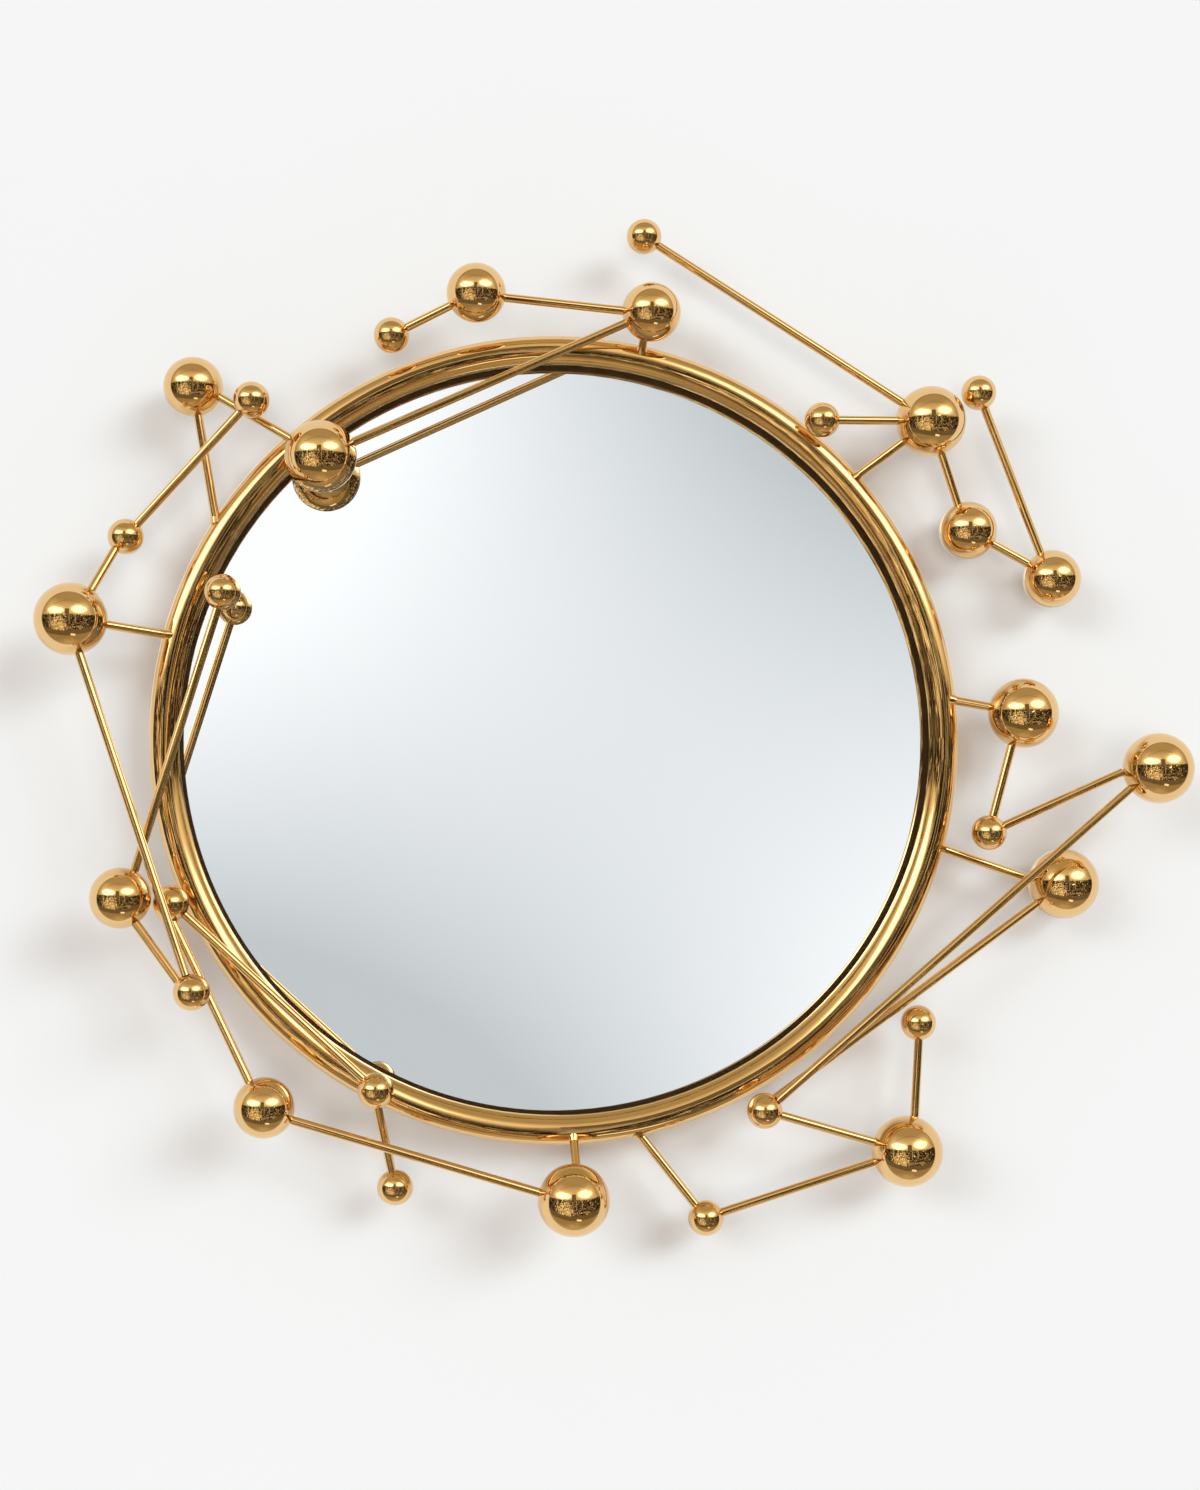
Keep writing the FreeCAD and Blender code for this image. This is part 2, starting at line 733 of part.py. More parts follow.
def tube_distance(point):
    """How far a point is from the tube's centre line"""
    radial = math.hypot(point.x, point.z + size("ring_drop")) - size("ring_radius")
    return math.hypot(radial, point.y + size("tube_depth"))


def make_rods():
    """Every rod and stay, worked out from the balls they join"""
    rods = []
    for run, rows in ROD_SHARES.items():
        for k, (first, second, first_shares, second_shares) in enumerate(rows, 1):
            rods.append(Rod("%s_rod_%d" % (run, k), run, first, second, None, first_shares, second_shares))
    for run, rows in STAY_SHARES.items():
        for k, (first, clock, shares) in enumerate(rows, 1):
            rods.append(Rod("%s_stay_%d" % (run, k), run, first, None, clock, shares, None))
    return rods


def write_lengths(rods):
    """Every rod's visible length in the sheet, below the named sizes, so that its solid can follow it"""
    for row, rod in enumerate(rods, len(SIZES) + len(WORKED) + 1):
        write_cell(row, rod.name + "_length", repr((rod.end - rod.start).Length))
    doc.recompute()


def build_rod(rod):
    """A rod with a turned-down spigot at each end that enters a ball"""
    alias = rod.name + "_length"
    stem = doc.addObject("Part::Cylinder", rod.name + "_stem")
    stem.Placement = along(rod.start, rod.way)
    stem.setExpression("Height", "Sizes." + alias)
    stem.setExpression("Radius", bound("rod_radius"))
    spigot = doc.addObject("Part::Cylinder", rod.name + "_spigot")
    spigot.Placement = along(rod.start - rod.way * size("spigot_length"), rod.way)
    ends = "2 * spigot_length" if rod.second is not None else "spigot_length"
    spigot.setExpression("Height", "Sizes.%s + %s" % (alias, bound(ends)))
    spigot.setExpression("Radius", bound("spigot_radius"))
    return fuse(rod.name, [stem, spigot])


def ball_ends(run, number, rods):
    """The ends that meet a ball, as (seat, way out)"""
    ends = [(rod.start, rod.way) for rod in rods if (rod.run, rod.first) == (run, number)]
    return ends + [(rod.end, rod.way * -1) for rod in rods if (rod.run, rod.second) == (run, number)]


def clear_clock(ends):
    """The clock angle of the middle of the widest gap between the rods that leave a ball"""
    clocks = sorted(math.degrees(math.atan2(out.z, out.x)) for _, out in ends)
    gaps = [(after - before, before) for before, after in zip(clocks, clocks[1:] + [clocks[0] + 360])]
    width, before = max(gaps)
    return before + width / 2


def build_ball(run, number, rods):
    """A hollow ball with a flat seat and a hole for every rod that meets it"""
    name = "ball_%s_%s" % (run, number)
    kind = BALL_SHARES[run][number][-1]
    ends = ball_ends(run, number, rods)
    spun = facing(0, 0, 0).Rotation.multiply(Rotation(Vector(0, 0, 1), clear_clock(ends)))
    spot = Placement(ball_centre(run, number), spun)
    skin = add("Part::Sphere", name + "_skin", spot, Radius=kind + " / 2")
    tools = [add("Part::Sphere", name + "_hollow", spot, Radius=kind + " / 2 - ball_wall")]
    for k, (seat, out) in enumerate(ends):
        tools.append(add("Part::Cylinder", name + "_seat_%d" % k, along(seat, out),
                         Radius="rod_radius + rod_fit", Height=kind + " / 2"))
        start = seat - out * (size("spigot_length") + size("screw_fit"))
        tools.append(add("Part::Cylinder", name + "_hole_%d" % k, along(start, out),
                         Radius="spigot_radius + rod_fit", Height="spigot_length + overrun"))
    return piece(name, cut(name, skin, tools))


def make_balls(rods):
    """All the balls"""
    for run, rows in BALL_SHARES.items():
        for number in rows:
            build_ball(run, number, rods)


def make_rod_groups(rods):
    """The rods of each run in one node and its stays in another"""
    for run in BALL_SHARES:
        links = [build_rod(rod) for rod in rods if rod.run == run and rod.second is not None]
        group("rods_" + run, links)
        stays = [build_rod(rod) for rod in rods if rod.run == run and rod.second is None]
        group("stays_" + run, stays)


def torus(name, radius):
    """A torus on the tube's centre line"""
    spot = facing(0, -size("ring_drop"), size("tube_depth"))
    return add("Part::Torus", name, spot, Radius1="ring_radius", Radius2=radius)


def make_frame_tube(stays):
    """The hollow ring with a hole for every stay and a vent at the bottom of its rear"""
    tools = [torus("tube_hollow", "tube_bore")]
    rear = on_ring(270.0, size("ring_radius"), size("glass_front") - size("overrun"))
    tools.append(add("Part::Cylinder", "tube_vent", Placement(rear, facing(0, 0, 0).Rotation),
                     Radius="vent_diameter / 2", Height="overrun + tube_radius"))
    for stay in stays:
        start = stay.meeting - stay.way * size("weld_root")
        tools.append(add("Part::Cylinder", stay.name + "_port", along(start, stay.way),
                         Radius="rod_radius + rod_fit", Height="weld_root + tube_bite + screw_fit"))
    piece("frame_tube", cut("frame_tube", torus("tube_stock", "tube_radius"), tools))


def make_ring_welds(stays):
    """The small collar of weld where each stay enters the tube"""
    welds = []
    for stay in stays:
        name = stay.name + "_weld"
        foot = stay.meeting + stay.way * size("weld_root")
        back = along(foot, stay.way * -1)
        collar = add("Part::Cone", name + "_collar", back, Radius1="rod_radius + weld_leg",
                     Radius2="rod_radius + weld_lip", Height="weld_leg + weld_root")
        core = add("Part::Cylinder", name + "_core", back, Radius="rod_radius + rod_fit",
                   Height="weld_leg + weld_root + overrun")
        bed = torus(name + "_bed", "tube_radius + rod_fit")
        welds.append(cut(name, collar, [core, bed]))
    group("ring_welds", welds)


def report_faults():
    """Stop before anything is written if an object failed"""
    for item in doc.Objects:
        if "Invalid" in item.State or "Error" in item.State:
            raise RuntimeError("%s failed: %s" % (item.Name, item.State))
    for item in pieces:
        shape = item.Shape
        if shape.isNull() or not shape.isValid():
            raise RuntimeError(item.Label + " has no valid shape")


def write_pieces():
    """One STEP file for each sub-part"""
    os.makedirs(OUT_FOLDER, exist_ok=True)
    for item in pieces:
        item.Shape.exportStep(os.path.join(OUT_FOLDER, item.Label + ".step"))
        print("%-24s solids %2d  volume %10.0f" % (item.Label, len(item.Shape.Solids), item.Shape.Volume))


make_mirror_pack()
make_rear_band()
make_clips()
make_rails()
make_bars()
make_rail_screws()
make_bumpers()
all_rods = make_rods()
all_stays = [rod for rod in all_rods if rod.second is None]
make_frame_tube(all_stays)
make_ring_welds(all_stays)
write_lengths(all_rods)
make_rod_groups(all_rods)
make_balls(all_rods)
doc.recompute()
report_faults()
write_pieces()
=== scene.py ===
import bpy
import json
import math
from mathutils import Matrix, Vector


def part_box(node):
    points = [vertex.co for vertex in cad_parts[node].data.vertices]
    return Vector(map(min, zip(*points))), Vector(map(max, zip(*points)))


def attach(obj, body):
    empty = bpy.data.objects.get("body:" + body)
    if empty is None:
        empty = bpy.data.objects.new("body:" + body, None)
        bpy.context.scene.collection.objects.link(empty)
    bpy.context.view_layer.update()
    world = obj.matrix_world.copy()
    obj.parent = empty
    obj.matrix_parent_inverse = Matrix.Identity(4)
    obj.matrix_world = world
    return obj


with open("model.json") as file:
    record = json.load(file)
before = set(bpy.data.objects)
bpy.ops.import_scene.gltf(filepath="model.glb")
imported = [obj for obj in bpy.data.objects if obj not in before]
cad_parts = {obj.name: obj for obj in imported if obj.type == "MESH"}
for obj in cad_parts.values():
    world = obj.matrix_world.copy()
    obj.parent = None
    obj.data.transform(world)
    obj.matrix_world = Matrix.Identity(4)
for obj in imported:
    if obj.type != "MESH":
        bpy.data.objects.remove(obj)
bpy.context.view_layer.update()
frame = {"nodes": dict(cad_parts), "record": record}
nodes = frame["nodes"]
scene = bpy.context.scene

# Silver coat, in metres: how far it stops short of the glass's edge, how far its front and its
# back lie from the rear of the glass, and how much of its dark border shows inside the tube
SILVER_MARGIN = 0.002
SILVER_FRONT = 0.0006
SILVER_BACK = 0.0003
BORDER_SHOWN = 0.0022
# Points in each ring of its mesh, and the rings as shares of its radius
SILVER_STEPS = 160
INNER_RING, OUTER_RING, RIM_RING = 0.3, 0.7, 0.996

# Backdrop, in metres
BACKDROP_SIDE = 6.0
WALL_TOP = 4.5
FLOOR = -1.62
# Mirrored rays shorter than this don't show it, in metres
MIRROR_REACH = 0.06
# The share of the floor that shows by way of the metal and then the glass
FLOOR_AGAIN = 0.2

# Light for diffuse rays, and what the camera sees past everything
AMBIENT = (0.47, 0.43, 0.405, 1)
BACKDROP = (0.88, 0.885, 0.88, 1)
# The depth, as y of the direction, over which the front half of the room turns into the rear
HALVES = (-0.02, 0.02)

# Rear half of the room: tones, the elevations between which they change, and its windows as
# middle, height, half width and half height in degrees
REAR_LOW = (0.5, 0.48, 0.45, 1)
REAR_HIGH = (0.84, 0.84, 0.82, 1)
REAR_RISE = (-14.0, 4.0)
REAR_WINDOW = (1.5, 1.48, 1.42, 1)
REAR_WINDOWS = ((-142.0, 22.0, 26.0, 20.0), (138.0, 22.0, 26.0, 20.0))

# Ceiling: tones, the elevations between which it darkens, and for its dark sides the squared
# azimuths between which they come in, with their first and last share
CEILING_NEAR = (0.74, 0.66, 0.48, 1)
CEILING_FAR = (0.46, 0.39, 0.25, 1)
CEILING_SIDE = (0.33, 0.275, 0.17, 1)
CEILING_RISE = (34.0, 58.0)
CEILING_SIDES = (4200.0, 7400.0, 0.0, 0.6)
# Cable: tone, bow, lower and upper edge with their softness, and share
CABLE = (0.28, 0.24, 0.16, 1)
CABLE_BOW = 0.006
CABLE_EDGES = (55.0, 56.5, 1.2)
CABLE_SHARE = 0.6

# Windows as middle, height, half width and half height in degrees, and tone
WINDOWS = (
    (-40.0, 22.0, 36.0, 15.0, (1.0, 0.93, 0.72, 1)),
    (-40.0, 21.0, 27.0, 9.5, (3.0, 3.0, 2.85, 1)),
    (37.0, 26.0, 35.0, 18.0, (1.0, 0.93, 0.72, 1)),
    (37.0, 25.0, 26.0, 11.5, (2.9, 2.85, 2.65, 1)),
)
# How many degrees their edges waver by
WAVER = 8.0
# The squared reach over which a window or other oval fades in
OVAL_EDGE = (1.25, 0.6)

# Things under the horizon: tones, and the noise values between which each comes in
DARK = (0.014, 0.012, 0.011, 1)
DIM = (0.13, 0.104, 0.078, 1)
WARM = (0.5, 0.38, 0.22, 1)
SPARK = (1.6, 1.45, 1.05, 1)
DIM_EDGES = (0.46, 0.64)
WARM_EDGES = (0.57, 0.62)
SPARK_EDGES = (0.61, 0.66)
# Where warm things and sparks gather, as azimuth, elevation and half width, and by how much
WARM_SPOT, WARM_GAIN = (-30.0, -28.0, 36.0), 0.09
SPARK_SPOT, SPARK_GAIN = (-34.0, -22.0, 36.0), 0.1
# Their dark sides, as those of the ceiling, and the horizon with its raggedness, in degrees
LOW_SIDES = (3000.0, 5600.0, 0.0, 0.7)
HORIZON = (15.5, 12.5)
HORIZON_RAG = 10.0

# Dark table before the mirror and pale floor lower down: tones, edges and raggedness in degrees,
# and how far their edges bow with the squared azimuth
TABLE = (0.09, 0.077, 0.055, 1)
TABLE_PALE = (0.24, 0.2, 0.14, 1)
TABLE_EDGES = (-36.0, -41.0)
TABLE_BOW = -0.0035
TABLE_RAG = 8.0
GROUND = (0.36, 0.29, 0.17, 1)
GROUND_PALE = (0.58, 0.47, 0.29, 1)
GROUND_EDGES = (-54.0, -57.0)
GROUND_FALL = (-48.0, -74.0)
GROUND_RAG = 24.0

# Single pieces of furniture as left, right, foot, head and edge in degrees, and tone
FURNITURE = (
    (-9.0, 3.0, 8.0, 26.0, 2.0, (0.17, 0.145, 0.1, 1)),
    (4.0, 5.0, -22.0, 6.0, 1.0, (0.5, 0.46, 0.4, 1)),
    (-26.0, -24.5, -8.0, 8.0, 0.8, (0.4, 0.36, 0.28, 1)),
    (22.0, 24.0, -12.0, 9.0, 1.0, (0.5, 0.46, 0.36, 1)),
    (-52.0, -16.0, -24.0, -21.0, 2.0, (0.72, 0.62, 0.4, 1)),
    (-44.0, -22.0, -31.0, -30.0, 1.5, (0.95, 0.85, 0.6, 1)),
    (12.0, 32.0, -57.0, -54.0, 3.0, (1.4, 1.35, 1.2, 1)),
    (30.0, 52.0, -30.0, -27.0, 2.0, (0.4, 0.34, 0.24, 1)),
)

# Screen that the glass shows, lit like a saddle, in degrees: tones, its left, right, foot, head
# and edge, the middle of the saddle, the weights of the squared elevation and of the squared
# azimuth in it, and how far it reaches
SCREEN = (0.593, 0.621, 0.637, 1)
SCREEN_LIT = (1.083, 1.086, 1.101, 1)
SCREEN_PANE = (-7.0, 14.0, -8.0, 13.0, 2.5)
SADDLE_ACROSS, SADDLE_UP = 6.7, 1.45
SADDLE_TALL, SADDLE_WIDE = 0.26, -0.09
SADDLE_REACH = 40.0

# Lamps as name, azimuth, elevation and spread in degrees, strength and tone: four stand for the
# two windows, and one fills in from the camera's side
WINDOW_LIGHT = (0.87, 1.0, 1.07)
ROOM_LIGHT = (1.0, 0.915, 0.86)
LAMPS = (
    ("right_near", 32.0, 24.0, 20.0, 0.64, WINDOW_LIGHT),
    ("right_far", 48.0, 23.0, 20.0, 0.64, WINDOW_LIGHT),
    ("left_near", -34.0, 20.0, 20.0, 0.36, WINDOW_LIGHT),
    ("left_far", -50.0, 19.0, 20.0, 0.38, WINDOW_LIGHT),
    ("fill", -3.0, -3.0, 24.0, 0.54, ROOM_LIGHT),
)

# Camera: its place and the point that it looks at in metres, its sensor in millimetres, and the
# photograph's distance and height in its own pixels
CAMERA_PLACE = (-0.1458, -2.4627, -0.2939)
CAMERA_AIM = (0.0456, -0.0279, -0.1777)
SENSOR = 36.0
PHOTO_DISTANCE, PHOTO_HEIGHT = 2242.0, 1490.0

# Sockets of the Principled shader that a finish sets
SOCKETS = {
    "colour": "Base Color", "metallic": "Metallic", "roughness": "Roughness", "ior": "IOR",
    "normal": "Normal", "transmission": "Transmission Weight", "specular": "Specular IOR Level",
}


# Node helpers
class Web:
    """A small builder for node trees"""

    def __init__(self, tree):
        self.tree = tree
        tree.nodes.clear()

    def node(self, kind, **values):
        item = self.tree.nodes.new(kind)
        for name, value in values.items():
            setattr(item, name, value)
        return item

    def link(self, source, target):
        self.tree.links.new(source, target)

    def feed(self, socket, value):
        """Links a socket to another, or sets it to a plain value"""
        if hasattr(value, "links"):
            self.link(value, socket)
        elif value is not None:
            socket.default_value = value

    def math(self, operation, a, b=None, c=None):
        item = self.node("ShaderNodeMath", operation=operation)
        for socket, value in zip(item.inputs, (a, b, c)):
            self.feed(socket, value)
        return item.outputs[0]

    def ramp(self, value, low, high, first=0.0, last=1.0, smooth=True):
        """Goes from first to last, and no further, as a value goes from low to high"""
        kind = "SMOOTHSTEP" if smooth else "LINEAR"
        item = self.node("ShaderNodeMapRange", interpolation_type=kind)
        item.clamp = True
        for socket, part in zip(item.inputs, (value, low, high, first, last)):
            self.feed(socket, part)
        return item.outputs[0]

    def mix(self, share, a, b):
        item = self.node("ShaderNodeMix", data_type="RGBA")
        self.feed(item.inputs[0], share)
        self.feed(item.inputs[6], a)
        self.feed(item.inputs[7], b)
        return item.outputs[2]

    def noise(self, vector, scale, detail=2.0, roughness=0.5, distortion=0.0):
        item = self.node("ShaderNodeTexNoise")
        self.feed(item.inputs["Vector"], vector)
        self.feed(item.inputs["Scale"], scale)
        self.feed(item.inputs["Detail"], detail)
        self.feed(item.inputs["Roughness"], roughness)
        self.feed(item.inputs["Distortion"], distortion)
        return item.outputs[0]

    def stretch(self, vector, scale):
        item = self.node("ShaderNodeMapping")
        self.feed(item.inputs["Vector"], vector)
        self.feed(item.inputs["Scale"], scale)
        return item.outputs[0]

    def bump(self, height, strength, distance):
        item = self.node("ShaderNodeBump")
        self.feed(item.inputs["Strength"], strength)
        self.feed(item.inputs["Distance"], distance)
        self.feed(item.inputs["Height"], height)
        return item.outputs[0]


def material(name, build):
    """A new material whose Principled shader is set up by a function"""
    mat = bpy.data.materials.new(name)
    mat.use_nodes = True
    web = Web(mat.node_tree)
    shader = web.node("ShaderNodeBsdfPrincipled")
    out = web.node("ShaderNodeOutputMaterial")
    web.link(shader.outputs[0], out.inputs[0])
    spot = web.node("ShaderNodeTexCoord").outputs["Object"]

    def put(**values):
        for name, value in values.items():
            web.feed(shader.inputs[SOCKETS[name]], value)

    build(web, put, spot)
    return mat


# Finishes
def polished_brass(web, put, spot):
    """Lacquered brass, buffed to a mirror, with faint clouding, fine marks and waviness"""
    cloud = web.noise(spot, scale=9.0, detail=3.0, roughness=0.55)
    fine = web.noise(spot, scale=260.0, detail=2.0, roughness=0.6)
    wave = web.noise(spot, scale=55.0, detail=1.0)
    share = web.ramp(cloud, 0.35, 0.7)
    put(
        colour=web.mix(share, (0.88, 0.58, 0.26, 1), (0.855, 0.55, 0.235, 1)),
        metallic=1.0,
        roughness=web.math("ADD", web.ramp(cloud, 0.3, 0.75, 0.02, 0.045),
                           web.ramp(fine, 0.45, 0.8, 0.0, 0.025)),
        normal=web.bump(wave, strength=0.03, distance=0.001),
    )


def satin_brass(web, put, spot):
    """Brass left as rolled"""
    lines = web.noise(web.stretch(spot, (3, 3, 240)), scale=9.0, detail=3.0)
    cloud = web.noise(spot, scale=14.0, detail=4.0)
    put(
        colour=web.mix(cloud, (0.62, 0.43, 0.19, 1), (0.8, 0.58, 0.27, 1)),
        metallic=1.0,
        roughness=web.ramp(lines, 0.2, 0.8, 0.26, 0.42),
        normal=web.bump(lines, strength=0.08, distance=0.0005),
    )


def clear_glass(web, put, spot):
    """Clear glass before the silver, of so low an index that its front hardly mirrors"""
    haze = web.noise(spot, scale=3.0, detail=3.0)
    put(
        colour=web.mix(haze, (0.965, 0.985, 0.98, 1), (0.98, 0.99, 0.985, 1)),
        transmission=1.0,
        ior=1.1,
        roughness=0.0,
    )


def silver(web, put, spot):
    """The silver coat behind the glass"""
    haze = web.noise(spot, scale=5.0, detail=3.0)
    put(
        colour=web.mix(haze, (0.93, 0.94, 0.945, 1), (0.95, 0.955, 0.96, 1)),
        metallic=1.0,
        roughness=0.0,
    )


def backing_paint(web, put, spot):
    """The grey paint over the rear of the silver"""
    mottle = web.noise(spot, scale=40.0, detail=3.0)
    put(
        colour=web.mix(mottle, (0.1, 0.105, 0.11, 1), (0.17, 0.175, 0.18, 1)),
        roughness=web.ramp(mottle, 0.3, 0.7, 0.42, 0.6),
        normal=web.bump(mottle, strength=0.1, distance=0.0003),
    )


def dark_border(web, put, spot):
    """A dark band on the silver's border under the frame tube, seen as a dark line beside it"""
    mottle = web.noise(spot, scale=60.0, detail=3.0)
    put(
        colour=web.mix(mottle, (0.08, 0.043, 0.013, 1), (0.15, 0.084, 0.028, 1)),
        roughness=web.ramp(mottle, 0.3, 0.7, 0.35, 0.5),
        specular=0.25,
    )


def grey_foam(web, put, spot):
    """Closed-cell foam"""
    cells = web.noise(spot, scale=500.0, detail=2.0)
    put(
        colour=web.mix(cells, (0.1, 0.1, 0.105, 1), (0.16, 0.16, 0.165, 1)),
        roughness=0.9,
        normal=web.bump(cells, strength=0.4, distance=0.001),
    )


def plywood(web, put, spot):
    """Sealed birch plywood: long grain, fine pores"""
    grain = web.noise(web.stretch(spot, (1.2, 1, 16)), scale=5.0, detail=6.0, roughness=0.6,
                      distortion=0.6)
    pores = web.noise(web.stretch(spot, (12, 12, 420)), scale=6.0, detail=2.0)
    wood = web.mix(web.ramp(grain, 0.3, 0.7), (0.48, 0.31, 0.165, 1), (0.66, 0.46, 0.27, 1))
    put(
        colour=web.mix(web.ramp(pores, 0.55, 0.75, 0.0, 0.25), wood, (0.3, 0.18, 0.09, 1)),
        roughness=web.ramp(grain, 0.2, 0.8, 0.42, 0.6),
        normal=web.bump(pores, strength=0.15, distance=0.0006),
    )


def rail_aluminium(web, put, spot):
    """Extruded aluminium with die lines along its length"""
    lines = web.noise(web.stretch(spot, (1, 300, 300)), scale=6.0, detail=3.0)
    put(
        colour=web.mix(lines, (0.68, 0.69, 0.7, 1), (0.8, 0.81, 0.82, 1)),
        metallic=1.0,
        roughness=web.ramp(lines, 0.2, 0.8, 0.28, 0.45),
        normal=web.bump(lines, strength=0.1, distance=0.0003),
    )


def zinc_steel(web, put, spot):
    """Zinc-plated steel with its spangle"""
    cells = web.node("ShaderNodeTexVoronoi")
    web.feed(cells.inputs["Vector"], spot)
    web.feed(cells.inputs["Scale"], 90.0)
    tone = web.noise(spot, scale=30.0, detail=3.0)
    put(
        colour=web.mix(tone, (0.5, 0.51, 0.53, 1), (0.66, 0.67, 0.69, 1)),
        metallic=1.0,
        roughness=web.ramp(cells.outputs["Distance"], 0.0, 0.8, 0.24, 0.4),
        normal=web.bump(tone, strength=0.05, distance=0.0005),
    )


def black_rubber(web, put, spot):
    """Moulded rubber"""
    grain = web.noise(spot, scale=700.0, detail=2.0)
    put(
        colour=web.mix(grain, (0.018, 0.018, 0.018, 1), (0.035, 0.034, 0.033, 1)),
        roughness=web.ramp(grain, 0.3, 0.7, 0.55, 0.75),
        normal=web.bump(grain, strength=0.25, distance=0.0004),
    )


FINISHES = {
    "polished_brass": polished_brass, "satin_brass": satin_brass, "silvered_glass": clear_glass,
    "grey_foam": grey_foam, "plywood": plywood, "rail_aluminium": rail_aluminium,
    "steel_bar": zinc_steel, "steel_screws": zinc_steel, "black_rubber": black_rubber,
}


def finish_nodes():
    """Gives each CAD node the finish of its slot"""
    looks = {slot: material(slot, build) for slot, build in FINISHES.items()}
    for row in frame["record"]["subparts"]:
        mesh = nodes[row["node"]].data
        mesh.materials.clear()
        mesh.materials.append(looks[row["material_slot"]])


def silver_coat():
    """The silver coat at the rear of the glass, just short of its edge, with border and paint"""
    low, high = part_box("mirror_glass")
    across, up = (low[0] + high[0]) / 2, (low[2] + high[2]) / 2
    radius = (high[0] - low[0]) / 2 - SILVER_MARGIN
    front, back = high[1] - SILVER_FRONT, high[1] - SILVER_BACK
    middle = (front + back) / 2
    tube_low, tube_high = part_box("frame_tube")
    tube_radius, tube_width = (tube_high[0] - tube_low[0]) / 2, tube_high[1] - tube_low[1]
    border = tube_radius - tube_width - BORDER_SHOWN
    profile = ((INNER_RING, front), (OUTER_RING, front), (border / radius, front),
               (RIM_RING, front), (1.0, middle), (RIM_RING, back), (OUTER_RING, back),
               (INNER_RING, back))
    points = [(across, front, up), (across, back, up)]
    for share, depth in profile:
        reach = share * radius
        for step in range(SILVER_STEPS):
            turn = 2 * math.pi * step / SILVER_STEPS
            points.append((across + reach * math.cos(turn), depth, up + reach * math.sin(turn)))
    faces = []
    last = 2 + (len(profile) - 1) * SILVER_STEPS
    for step in range(SILVER_STEPS):
        after = (step + 1) % SILVER_STEPS
        faces.append((0, 2 + step, 2 + after))
        for ring in range(len(profile) - 1):
            near = 2 + ring * SILVER_STEPS
            far = near + SILVER_STEPS
            faces.append((near + step, far + step, far + after, near + after))
        faces.append((1, last + after, last + step))
    mesh = bpy.data.meshes.new("mirror_silver")
    mesh.from_pydata(points, [], faces)
    looks = (silver, backing_paint, dark_border)
    for look in looks:
        mesh.materials.append(material(look.__name__, look))
    # Back faces take the backing paint, and front faces past the border radius take the dark band
    # that shows as a dark line where the tube meets the glass
    for face in mesh.polygons:
        if face.center.y > middle:
            face.material_index = looks.index(backing_paint)
        elif math.hypot(face.center.x - across, face.center.z - up) > border:
            face.material_index = looks.index(dark_border)
    item = bpy.data.objects.new("mirror_silver", mesh)
    scene.collection.objects.link(item)
    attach(item, "mirror")


# Wall, floor and room
def sheet(name, corners, mirrored):
    """A one-sided plaster sheet, seen from the side that it faces, and in the metal where asked"""
    mesh = bpy.data.meshes.new(name)
    mesh.from_pydata(corners, [], [tuple(range(len(corners)))])
    item = bpy.data.objects.new(name, mesh)
    item.visible_glossy = mirrored
    scene.collection.objects.link(item)
    mat = bpy.data.materials.new(name)
    mat.use_nodes = True
    web = Web(mat.node_tree)
    spot = web.node("ShaderNodeTexCoord").outputs["Object"]
    tone = web.noise(spot, scale=1.3, detail=2.0)
    plaster = web.node("ShaderNodeBsdfDiffuse")
    web.feed(plaster.inputs[0], web.mix(tone, (0.88, 0.885, 0.88, 1), (0.9, 0.905, 0.9, 1)))
    path = web.node("ShaderNodeLightPath").outputs
    rear = web.node("ShaderNodeNewGeometry").outputs["Backfacing"]
    far = web.math("GREATER_THAN", path["Ray Length"], MIRROR_REACH)
    far = web.math("MULTIPLY", path["Is Glossy Ray"], far)
    if not mirrored:
        first = web.math("LESS_THAN", path["Glossy Depth"], 1.5)
        far = web.math("MULTIPLY", far,
                       web.math("MULTIPLY_ADD", first, 1.0 - FLOOR_AGAIN, FLOOR_AGAIN))
    seen = web.math("MAXIMUM", path["Is Camera Ray"], far)
    shown = web.math("MULTIPLY", seen, web.math("SUBTRACT", 1.0, rear))
    clear = web.node("ShaderNodeBsdfTransparent")
    both = web.node("ShaderNodeMixShader")
    for socket, source in zip(both.inputs, (shown, clear.outputs[0], plaster.outputs[0])):
        web.link(source, socket)
    out = web.node("ShaderNodeOutputMaterial")
    web.link(both.outputs[0], out.inputs[0])
    mesh.materials.append(mat)


def backdrop():
    """The wall that the object hangs on, and a floor that the metal doesn't mirror"""
    side = BACKDROP_SIDE
    sheet("wall", [(-side, 0.0, FLOOR), (side, 0.0, FLOOR), (side, 0.0, WALL_TOP),
                   (-side, 0.0, WALL_TOP)], mirrored=True)
    sheet("floor", [(-side, -side, FLOOR), (side, -side, FLOOR), (side, side, FLOOR),
                    (-side, side, FLOOR)], mirrored=False)


def aim(across, up):
    """The direction at an azimuth and an elevation in degrees, from the mirror into the room"""
    across, up = math.radians(across), math.radians(up)
    return Vector((math.sin(across) * math.cos(up), -math.cos(across) * math.cos(up),
                   math.sin(up)))


def lobe(web, way, across, up, width):
    """A soft round patch of the room"""
    dot = web.node("ShaderNodeVectorMath", operation="DOT_PRODUCT")
    web.link(way, dot.inputs[0])
    dot.inputs[1].default_value = aim(across, up)
    return web.ramp(dot.outputs["Value"], math.cos(math.radians(width)), 1.0)


def band(web, value, low, high, soft):
    """A soft-edged band of one value"""
    foot, head = web.ramp(value, low - soft, low), web.ramp(value, high + soft, high)
    return web.math("MULTIPLY", foot, head)


def pane(web, across, up, left, right, low, high, soft):
    """A soft-edged patch of the room between two azimuths and two elevations, in degrees"""
    wide, tall = band(web, across, left, right, soft), band(web, up, low, high, soft)
    return web.math("MULTIPLY", wide, tall)


